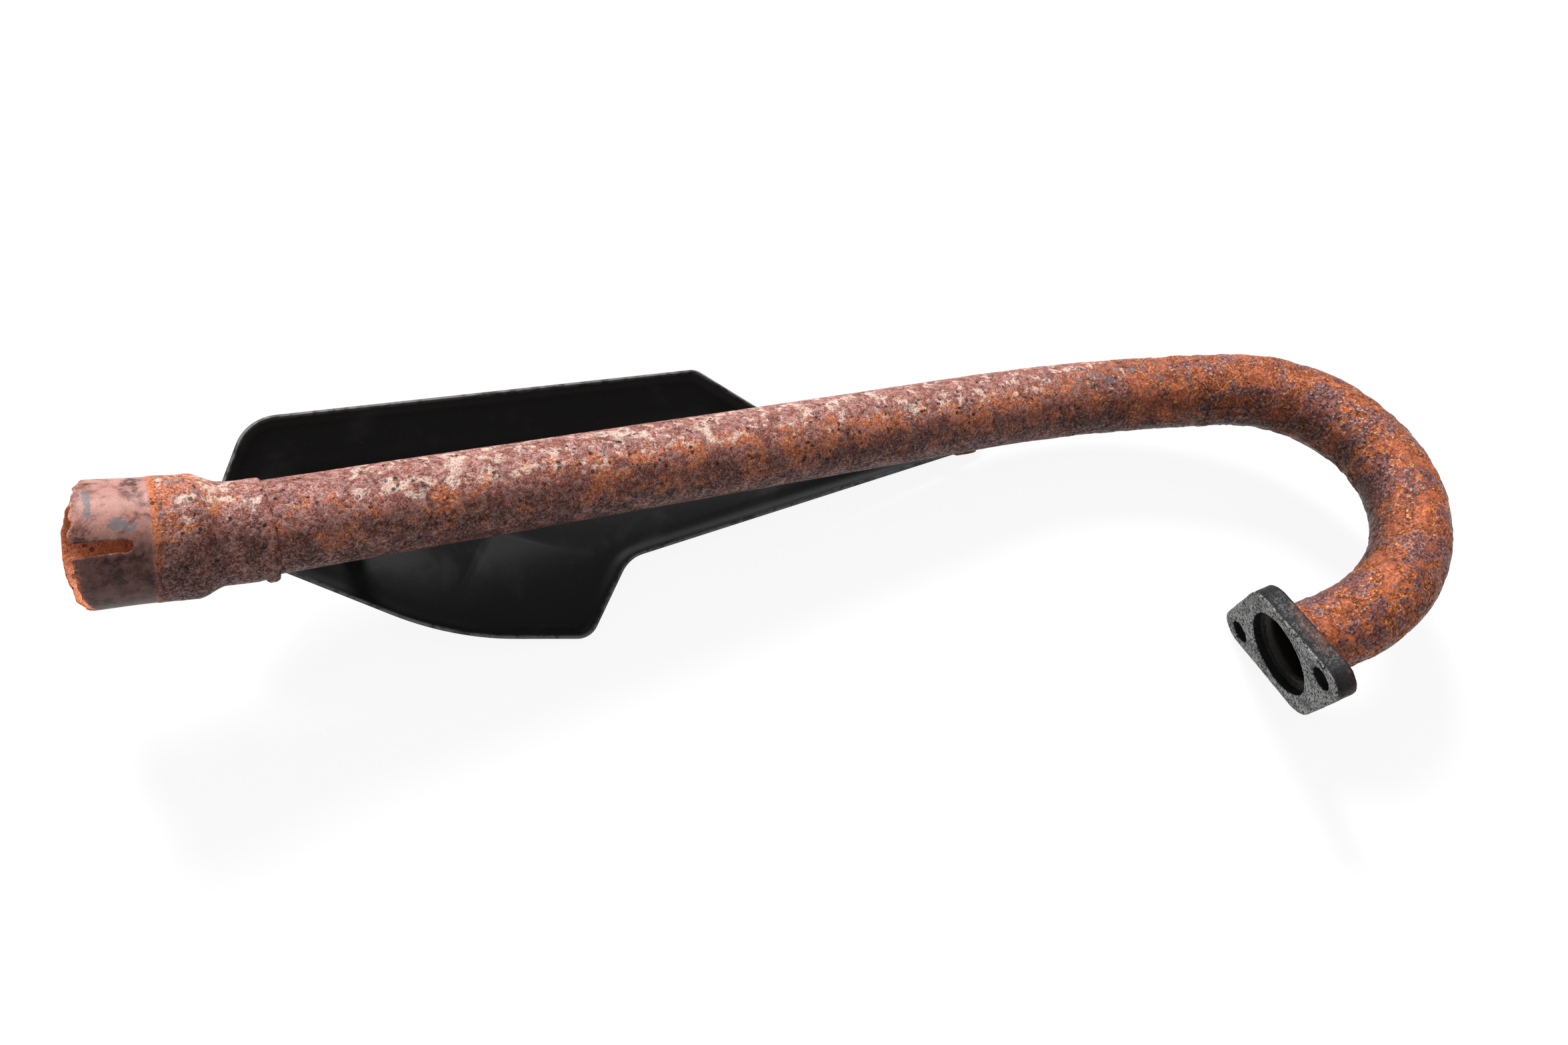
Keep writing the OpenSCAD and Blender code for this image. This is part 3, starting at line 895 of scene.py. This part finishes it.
def makeFlange():
    half = port["corners"]
    corners = [(x * mm, y * mm, r * mm) for x, y, r in half + [(-x, -y, r) for x, y, r in half]]
    edge, thick = port["edge"], port["thick"]
    seamTop, seamLow = -port["seamAt"], -port["seamAt"] - port["seamWide"]
    heights = [(edge, 0), (edge * 0.3, -edge * 0.3), (0, -edge), (0, seamTop + 0.1 * mm),
               (port["seamDeep"], seamTop - 0.1 * mm), (port["seamDeep"], seamLow), (0, seamLow - 0.2 * mm),
               (0, -thick + edge), (edge, -thick)]
    rings = [(roundedOutline(corners, inset, 10), z) for inset, z in heights]
    points, faces = stackOutlines(rings, portFrame)
    piece = makePiece("sootedFlange", points, faces, makeSooted(), "port_flange")
    far = thick + 1 * mm
    cutAway(piece, circle(port["bore"] + 0.02 * mm, 96), portFrame, -far, 1 * mm)
    cutAway(piece, circle(port["recess"], 96), portFrame, -port["recessDeep"], 1 * mm)
    for side in (-1, 1):
        hole = circle(port["stud"], 48, side * port["studSpacing"] / 2)
        cutAway(piece, hole, portFrame, -far, 1 * mm)
    remesh = piece.modifiers.new("fine", "REMESH")
    remesh.mode = "VOXEL"
    remesh.voxel_size = port["voxel"]
    applyAll(piece)
    mesh = piece.data
    mesh.shade_smooth()
    normals = [v.normal.copy() for v in mesh.vertices]
    for vertex, normal in zip(mesh.vertices, normals):
        spot = vertex.co
        dent = noise.fractal(spot * 420, 0.9, 2.1, 3) + 0.8 * noise.noise(spot * 130)
        vertex.co = spot + normal * port["pitting"] * dent
    local = intoFrame(pointsOf(piece), portFrame) / mm
    x, y, z = local.T
    radius = np.hypot(x, y)
    face = smooth(-0.7, -0.25, z)
    # the bore and stud holes: near-black for soot and painted shade
    bore = (1 - smooth(16.0, 16.8, radius)) * (z < -0.3)
    for side in (-1, 1):
        fromStud = np.hypot(x - side * port["studSpacing"] / 2 / mm, y)
        bore = np.maximum(bore, (1 - smooth(4.4, 5.0, fromStud)) * (z < -0.4))
    seam = np.exp(-((z + 1.8) / 0.45) ** 2)
    rusty = smooth(-2.5, -6.5, z) * (1 - bore)
    paintZones(piece, "zones", face, bore, seam)
    paintZones(piece, "tints", rusty, 0, 0)


soot = {
    "metal": colour("6f6f6f"), "pale": colour("a3a2a1"), "dark": colour("3a3939"), "black": colour("0e0d0d"),
    "side": colour("141313"), "rust": colour("4a2a20"),
    "mottle": 2.6 * mm, "speck": 0.9 * mm, "patch": 8 * mm,
    "bump": 0.2 * mm, "shine": 0.25, "bareMetal": 0.55,
}


def makeSooted():
    # zones: gasket face, holes, seam; tints: rust towards the back
    paint = Paint("sootedSteel")
    spread, layer = paint.spread, paint.layer
    face, bore, seam = paint.zone("zones")
    rusty, _, _ = paint.zone("tints")
    mottle = paint.grain(soot["mottle"], 6, 0.7, 0.3)
    speck = paint.grain(soot["speck"], 4, 0.65, 0.2, 0.4)
    patch = paint.grain(soot["patch"], 4, 0.6, 0.2, 0.9)
    tone = layer(soot["metal"], soot["pale"], spread(mottle, 0.38, 0.62))
    tone = layer(tone, soot["dark"], spread(patch, 0.52, 0.38), 0.7)
    tone = layer(tone, soot["pale"], spread(speck, 0.45, 0.39), 0.8)
    tone = layer(tone, soot["black"], spread(speck, 0.52, 0.56))
    side = layer(soot["side"], soot["black"], spread(mottle, 0.45, 0.62))
    side = layer(side, soot["rust"], rusty, spread(patch, 0.46, 0.60))
    tone = layer(side, tone, face)
    # near-black in the bore and stud holes: soot and painted shade
    tone = layer(tone, soot["black"], bore, 0.97)
    tone = layer(tone, soot["black"], seam, 0.8)
    paint.relief(paint.total((mottle, 0.6), (spread(speck, 0.64, 0.5), 0.5)), soot["bump"], 0.8)
    rough = spread(mottle, 0.35, 0.65, 0.42, 0.68)
    return paint.finish(tone, rough, paint.times(face, soot["bareMetal"]), soot["shine"])


makeFlange()
print("flange made")


# the heat shield
shield = {
    "sheet": 1.2 * mm, "drop": 24 * mm, "rimRise": 5 * mm, "rimReach": 4.8 * mm, "rimCurve": 1.6,
    # outline corners: along the run, across it, radius
    "corners": [(57.5, 38, 15), (213, 34.9, 7), (246.3, 8, 20), (330.5, 8, 8), (330.5, -10.8, 8),
                (172.3, -28.4, 13), (152.6, -52.9, 8), (106.5, -43.2, 110), (37.8, 2.6, 8)],
    "openHole": (128 * mm, -8.8 * mm, 3 * mm),
    "screwHoles": [(80 * mm, 0, 2.1 * mm), (310.5 * mm, 0, 2.1 * mm)],
    "rimSteps": 10, "cornerSteps": 14, "ledge": 1.5 * mm,
    # the rounded lip at the rim's edge: how far up the sheet each ring lies
    "lip": [0.88, 0.5, 0.2],
}

black = {
    # the light grey goes along the rim's edge
    "paint": colour("1e1e1f"), "smudge": colour("333334"), "edgeGrey": colour("6a6a6c"),
    "broad": 26 * mm, "fine": 3.5 * mm, "dust": 0.7 * mm, "bump": 0.1 * mm,
    "floorShine": 0.03, "rimShine": 0.3,
}


def makeShieldPaint():
    paint = Paint("blackPaint")
    edge, rim, _ = paint.zone("zones")
    spread, layer = paint.spread, paint.layer
    broad = paint.grain(black["broad"], 4, 0.55, 0.6)
    fine = paint.grain(black["fine"], 4, 0.6, 0.2, 0.3)
    dust = paint.grain(black["dust"], 3, 0.6, 0.0, 0.7)
    tone = layer(black["paint"], black["smudge"], spread(broad, 0.50, 0.72), 0.55)
    tone = layer(tone, black["smudge"], spread(dust, 0.62, 0.74), 0.5)
    # lighter grey along the rim's edge
    tone = layer(tone, black["edgeGrey"], edge, spread(fine, 0.36, 0.56), 0.8)
    paint.relief(paint.total((fine, 0.5), (dust, 0.5)), black["bump"], 0.4)
    shine = paint.level(rim, black["floorShine"], black["rimShine"])
    return paint.finish(tone, spread(broad, 0.35, 0.7, 0.50, 0.62), shine=shine)


def makeShield():
    corners = [(x * mm, y * mm, r * mm) for x, y, r in shield["corners"]]
    steps, sheet = shield["rimSteps"], shield["sheet"]
    section = []
    for k in range(steps + 1):
        t = k / steps
        section.append((shield["rimReach"] * t, shield["rimRise"] * (1 - t) ** shield["rimCurve"]))
    section.append((shield["rimReach"] + shield["ledge"], 0.0))
    tilt = math.atan2(shield["rimRise"], shield["rimReach"])
    top, low = [], []
    for inset, height in section:
        share = height / shield["rimRise"]
        lean = sheet * math.sin(tilt) * share
        lift = sheet * (1 - math.cos(tilt)) * share
        top.append((roundedOutline(corners, inset + lean, shield["cornerSteps"]), height))
        low.append((roundedOutline(corners, inset, shield["cornerSteps"]), height - sheet + lift))
    rounds = []
    for up in shield["lip"]:
        ring = [(a[0] * up + b[0] * (1 - up), a[1] * up + b[1] * (1 - up)) for a, b in zip(top[0][0], low[0][0])]
        rounds.append((ring, top[0][1] * up + low[0][1] * (1 - up)))
    rings = top[::-1] + rounds + low
    place = runFrame @ moved(0, 0, -shield["drop"])
    points, faces = stackOutlines(rings, place)
    piece = makePiece("pressedShield", points, faces, makeShieldPaint(), "heat_shield")
    for x, y, radius in [shield["openHole"]] + shield["screwHoles"]:
        cutAway(piece, circle(radius, 40, x, y), place, -4 * mm, 4 * mm)
    local = intoFrame(pointsOf(piece), place) / mm
    height = local[:, 2]
    # the rim's edge, where the lighter grey goes
    edge = np.exp(-((height - 4.6) / 0.5) ** 2)
    rim = smooth(0.2, 2.5, height)
    paintZones(piece, "zones", edge, rim, 0)


makeShield()
print("shield made")


# the shield's saddles and screws, under the tube
fixings = {
    # name, place along the run, half of the angle that the strap wraps
    "places": [("front", 80 * mm, 52), ("tail", 310.5 * mm, 70)],
    "strapWide": 10 * mm, "strapThick": 1.3 * mm, "strapRows": 14, "strapColumns": 90,
    "strapRound": 0.35, "strapGrain": 0.12 * mm, "strapGap": 0.02 * mm, "boss": 3.5 * mm, "shankGap": 0.1 * mm,
    "shank": 2 * mm, "shankLong": 8.9 * mm, "head": 4.5 * mm, "headHigh": 3 * mm, "crossWide": 0.9 * mm,
    "crossLong": 2.6 * mm, "crossDeep": 1.6 * mm, "crossTurns": (20, 110), "threads": 9, "threadDeep": 0.28 * mm,
}


def latheFaces(profile, place, columns=64):
    # a turned solid: radius and height, from the axis out and back to it
    points, rings = [], []
    for radius, z in profile:
        if radius == 0:
            rings.append([len(points)])
            points.append(place @ Vector((0, 0, z)))
        else:
            rings.append(list(range(len(points), len(points) + columns)))
            points += [place @ Vector((radius * math.cos(2 * math.pi * c / columns),
                                       radius * math.sin(2 * math.pi * c / columns), z)) for c in range(columns)]
    faces = []
    for a, b in zip(rings, rings[1:]):
        for c in range(columns):
            n = (c + 1) % columns
            if len(a) == 1:
                faces.append((a[0], b[n], b[c]))
            elif len(b) == 1:
                faces.append((a[c], a[n], b[0]))
            else:
                faces.append((a[c], a[n], b[n], b[c]))
    return points, faces


def makeSaddle(name, x, wrapAngle, node):
    strap, wide = fixings["strapThick"], fixings["strapWide"]
    radius = tube["radius"] + fixings["strapGap"]
    rows, columns = fixings["strapRows"], fixings["strapColumns"]
    place = runFrame @ moved(x)
    points = []
    wrap = math.radians(wrapAngle)
    for side in (0, 1):
        for r in range(rows + 1):
            u = 2 * r / rows - 1
            across = wide / 2 * u
            soft = strap * fixings["strapRound"] * max(0, abs(u) - 0.8) / 0.2
            for c in range(columns + 1):
                angle = -math.pi / 2 + wrap * (2 * c / columns - 1)
                spot = place @ Vector((across, radius * math.cos(angle), radius * math.sin(angle)))
                grain = fixings["strapGrain"] * noise.fractal(spot * 300, 1, 2, 3)
                out = radius + (strap - soft + grain) * side
                points.append(place @ Vector((across, out * math.cos(angle), out * math.sin(angle))))
    width = columns + 1
    count = (rows + 1) * width
    faces = []
    for r in range(rows):
        for c in range(columns):
            a = r * width + c
            faces.append((a, a + 1, a + 1 + width, a + width))
            faces.append((count + a, count + a + width, count + a + 1 + width, count + a + 1))
    for r in range(rows):
        for c in (0, columns):
            a = r * width + c
            faces.append((a, a + width, count + a + width, count + a))
    for c in range(columns):
        for r in (0, rows):
            a = r * width + c
            faces.append((a, a + 1, count + a + 1, count + a))
    boss = fixings["boss"]
    low = -shield["drop"]
    hole = fixings["shank"] + fixings["shankGap"]
    top = -tube["radius"] - 0.9 * mm
    profile = [(hole, low), (boss - 0.4 * mm, low), (boss, low + 0.4 * mm), (boss, top - 1.6 * mm),
               (boss + 0.8 * mm, top - 0.5 * mm), (boss + 1.1 * mm, top), (hole, top), (hole, low)]
    bossPoints, bossFaces = latheFaces(profile, place)
    faces += [tuple(i + len(points) for i in f) for f in bossFaces]
    points += bossPoints
    piece = makePiece(name, points, faces, rustPaint, node)
    paintZones(piece, "zones", 0, 0.3, 0.7)
    # painted shade over the saddle, under the tube
    paintZones(piece, "tints", 0, 0.2, 0.6)
    paintZones(piece, "relief", 0.5, 0, 0)


screwLook = {
    "dark": colour("2c2a29"), "grey": colour("4b4643"),
    "mottle": 1.4 * mm, "patch": 3.5 * mm, "bump": 0.12 * mm, "metal": 0.55,
}


def makeScrewPaint():
    paint = Paint("blackenedScrew")
    mottle = paint.grain(screwLook["mottle"], 5, 0.65)
    patch = paint.grain(screwLook["patch"], 3, 0.5, 0, 0.2)
    tone = paint.layer(screwLook["dark"], screwLook["grey"], paint.spread(mottle, 0.4, 0.6))
    tone = paint.layer(tone, rust["redBrown"], paint.spread(patch, 0.5, 0.62), 0.85)
    paint.relief(mottle, screwLook["bump"], 0.7)
    return paint.finish(tone, paint.spread(mottle, 0.35, 0.65, 0.38, 0.7), screwLook["metal"])


screwPaint = makeScrewPaint()


def makeScrew(name, x, node):
    low = -shield["drop"] - shield["sheet"]
    place = runFrame @ moved(x, 0, low)
    head, high, shank = fixings["head"], fixings["headHigh"], fixings["shank"]
    profile = [(0, -high)]
    for k in range(1, 8):
        t = math.pi / 2 * k / 7
        profile.append((head * 0.55 + head * 0.45 * math.sin(t), -high * (0.35 + 0.65 * math.cos(t) ** 0.9)))
    profile[1:1] = [(head * 0.3, -high), (head * 0.52, -high * 0.995)]
    profile += [(head, 0), (shank, 0)]
    threads = fixings["threads"]
    for k in range(threads):
        z = 1.4 * mm + (fixings["shankLong"] - 2.2 * mm) * k / threads
        profile += [(shank, z), (shank - fixings["threadDeep"], z + 0.4 * mm)]
    profile += [(shank, fixings["shankLong"] - 0.7 * mm), (shank - 0.6 * mm, fixings["shankLong"]),
                (0, fixings["shankLong"])]
    points, faces = latheFaces(profile, place)
    piece = makePiece(name, points, faces, screwPaint, node)
    half, wide = fixings["crossLong"], fixings["crossWide"] / 2
    bar = [(-half, -wide), (half, -wide), (half, wide), (-half, wide)]
    for turn in fixings["crossTurns"]:
        cutAway(piece, bar, place @ turned("Z", turn), -high - 1 * mm, -high + fixings["crossDeep"])


for label, x, wrapAngle in fixings["places"]:
    makeSaddle(label + "Saddle", x, wrapAngle, label + "_saddle")
    makeScrew(label + "Screw", x, label + "_screw")
print("saddles and screws made")
